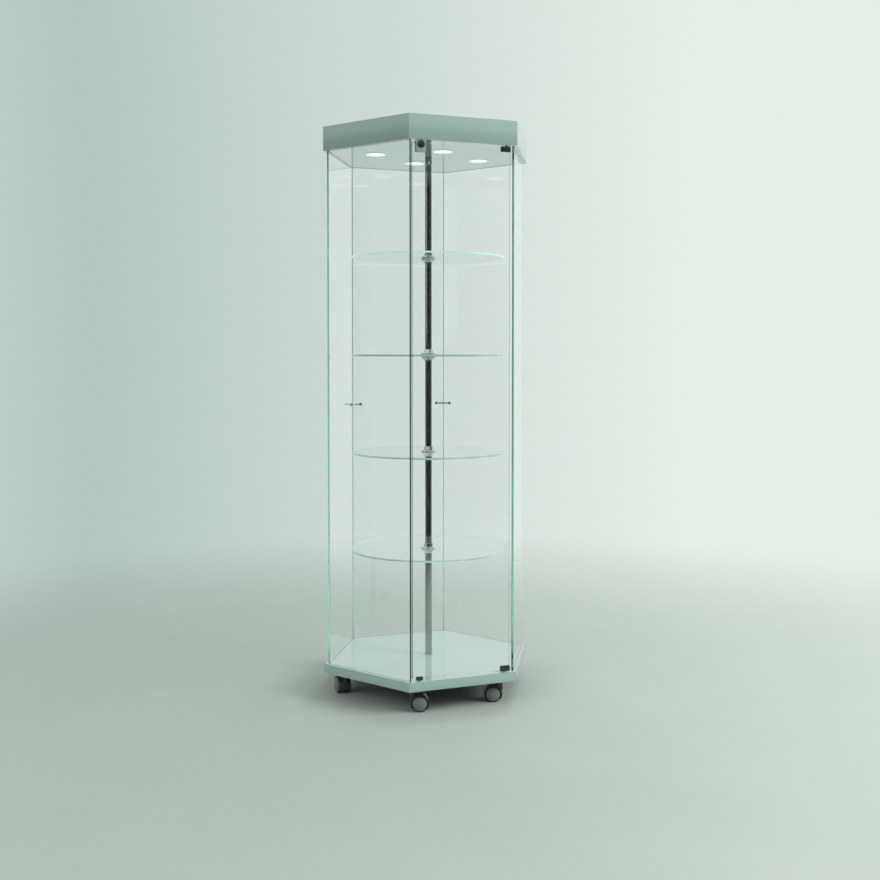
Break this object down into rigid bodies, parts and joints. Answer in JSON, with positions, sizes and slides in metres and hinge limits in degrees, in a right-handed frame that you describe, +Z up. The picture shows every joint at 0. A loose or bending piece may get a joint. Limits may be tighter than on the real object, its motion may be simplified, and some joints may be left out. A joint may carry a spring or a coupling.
{
  "type": "revolving glass display cabinet",
  "caption": "Hexagonal glass showcase on swivel castors with a hinged glass door, a lit top box and round glass shelves on a turning chrome column.",
  "frame": {"origin": "on the floor under the column, at the bottom centre of the cabinet", "axes": "+Z up along the column, -Y towards the door, +X towards the door's hinge corner side"},
  "size_m": [0.7, 0.6062, 1.787],
  "materials": {
    "pale_laminate": "glossy pale laminate over chipboard",
    "raw_board": "plain chipboard and grey backing, hidden",
    "silver_edging": "silver-grey satin edging",
    "clear_glass": "clear toughened glass with green edges",
    "chrome": "polished chrome",
    "dark_chrome": "smoked chrome",
    "lock_nickel": "satin nickel",
    "steel": "plain zinc-plated steel",
    "spot_ring": "white painted ring",
    "frosted_lens": "frosted lamp glass",
    "nylon": "natural nylon",
    "rubber": "black rubber",
    "castor_hood": "dark grey moulded nylon",
    "castor_wheel": "black tread with silver-grey domed caps",
    "motor_case": "pressed steel motor case",
    "transformer_case": "sealed black case"
  },
  "bodies": {
    "cabinet": {"base_board": "pale_laminate", "base_edge_strips": "silver_edging", "base_bearing_cup": "steel", "thrust_washers": "nylon", "catch_magnet": "steel", "castor_plates": "steel", "castor_screws": "steel", "glass_front_right": "clear_glass", "glass_rear_right": "clear_glass", "glass_rear": "clear_glass", "glass_rear_left": "clear_glass", "glass_front_left": "clear_glass", "glass_setting_blocks": "rubber", "corner_links": "chrome", "pivot_pins": "steel", "ceiling_board": "pale_laminate", "lock_strike_plate": "steel", "top_box_rails": "raw_board", "top_box_fascia": "silver_edging", "top_box_lid": "raw_board", "cable_grommet": "rubber", "spot_rings": "spot_ring", "spot_lenses": "frosted_lens", "spot_cans": "steel", "top_bush": "nylon", "gear_motor": "motor_case", "motor_bracket": "steel", "bracket_screws": "steel", "lamp_transformer": "transformer_case"},
    "door": {"door_glass": "clear_glass", "pivot_clamps": "dark_chrome", "clamp_pads": "rubber", "clamp_screws": "steel", "catch_clamp": "dark_chrome", "lock_body": "lock_nickel"},
    "lock_barrel": {"lock_cylinder": "lock_nickel", "lock_cam": "steel"},
    "carousel": {"column": "chrome", "column_foot": "nylon", "drive_coupling": "steel", "glass_shelf_1": "clear_glass", "glass_shelf_2": "clear_glass", "glass_shelf_3": "clear_glass", "glass_shelf_4": "clear_glass", "shelf_hubs": "chrome", "shelf_clamps": "chrome", "shelf_washers": "nylon", "shelf_grub_screws": "steel"},
    "castor_1_swivel": {"castor_1_hood": "castor_hood"},
    "castor_1_roll": {"castor_1_wheels": "castor_wheel"},
    "castor_2_swivel": {"castor_2_hood": "castor_hood"},
    "castor_2_roll": {"castor_2_wheels": "castor_wheel"},
    "castor_3_swivel": {"castor_3_hood": "castor_hood"},
    "castor_3_roll": {"castor_3_wheels": "castor_wheel"},
    "castor_4_swivel": {"castor_4_hood": "castor_hood"},
    "castor_4_roll": {"castor_4_wheels": "castor_wheel"},
    "castor_5_swivel": {"castor_5_hood": "castor_hood"},
    "castor_5_roll": {"castor_5_wheels": "castor_wheel"},
    "castor_6_swivel": {"castor_6_hood": "castor_hood"},
    "castor_6_roll": {"castor_6_wheels": "castor_wheel"}
  },
  "joints": [
    {"name": "door_hinge", "type": "hinge", "parent": "cabinet", "child": "door", "pos_m": [0.14816, -0.28941, 0.102], "axis": [0, 0, 1], "range_deg": [0, 120]},
    {"name": "lock_turn", "type": "hinge", "parent": "door", "child": "lock_barrel", "pos_m": [-0.13216, -0.29241, 1.6995], "axis": [0, -1, 0], "range_deg": [0, 90]},
    {"name": "carousel_spin", "type": "hinge", "parent": "cabinet", "child": "carousel", "pos_m": [0, 0, 0.102], "axis": [0, 0, 1], "continuous": true},
    {"name": "castor_1_swivel_turn", "type": "hinge", "parent": "cabinet", "child": "castor_1_swivel", "pos_m": [0.285, 0, 0.05], "axis": [0, 0, 1], "continuous": true},
    {"name": "castor_1_wheel_roll", "type": "hinge", "parent": "castor_1_swivel", "child": "castor_1_roll", "pos_m": [0.26621, -0.00684, 0.025], "axis": [0.342, -0.9397, 0], "continuous": true},
    {"name": "castor_2_swivel_turn", "type": "hinge", "parent": "cabinet", "child": "castor_2_swivel", "pos_m": [0.1425, 0.24682, 0.05], "axis": [0, 0, 1], "continuous": true},
    {"name": "castor_2_wheel_roll", "type": "hinge", "parent": "castor_2_swivel", "child": "castor_2_roll", "pos_m": [0.14768, 0.26614, 0.025], "axis": [-0.9659, 0.2588, 0], "continuous": true},
    {"name": "castor_3_swivel_turn", "type": "hinge", "parent": "cabinet", "child": "castor_3_swivel", "pos_m": [-0.1425, 0.24682, 0.05], "axis": [0, 0, 1], "continuous": true},
    {"name": "castor_3_wheel_roll", "type": "hinge", "parent": "castor_3_swivel", "child": "castor_3_roll", "pos_m": [-0.15782, 0.25967, 0.025], "axis": [-0.6428, -0.766, 0], "continuous": true},
    {"name": "castor_4_swivel_turn", "type": "hinge", "parent": "cabinet", "child": "castor_4_swivel", "pos_m": [-0.285, 0, 0.05], "axis": [0, 0, 1], "continuous": true},
    {"name": "castor_4_wheel_roll", "type": "hinge", "parent": "castor_4_swivel", "child": "castor_4_roll", "pos_m": [-0.285, 0.02, 0.025], "axis": [-1, 0, 0], "continuous": true},
    {"name": "castor_5_swivel_turn", "type": "hinge", "parent": "cabinet", "child": "castor_5_swivel", "pos_m": [-0.1425, -0.24682, 0.05], "axis": [0, 0, 1], "continuous": true},
    {"name": "castor_5_wheel_roll", "type": "hinge", "parent": "castor_5_swivel", "child": "castor_5_roll", "pos_m": [-0.12371, -0.25366, 0.025], "axis": [0.342, 0.9397, 0], "continuous": true},
    {"name": "castor_6_swivel_turn", "type": "hinge", "parent": "cabinet", "child": "castor_6_swivel", "pos_m": [0.1425, -0.24682, 0.05], "axis": [0, 0, 1], "continuous": true},
    {"name": "castor_6_wheel_roll", "type": "hinge", "parent": "castor_6_swivel", "child": "castor_6_roll", "pos_m": [0.12371, -0.23998, 0.025], "axis": [-0.342, -0.9397, 0], "continuous": true}
  ]
}
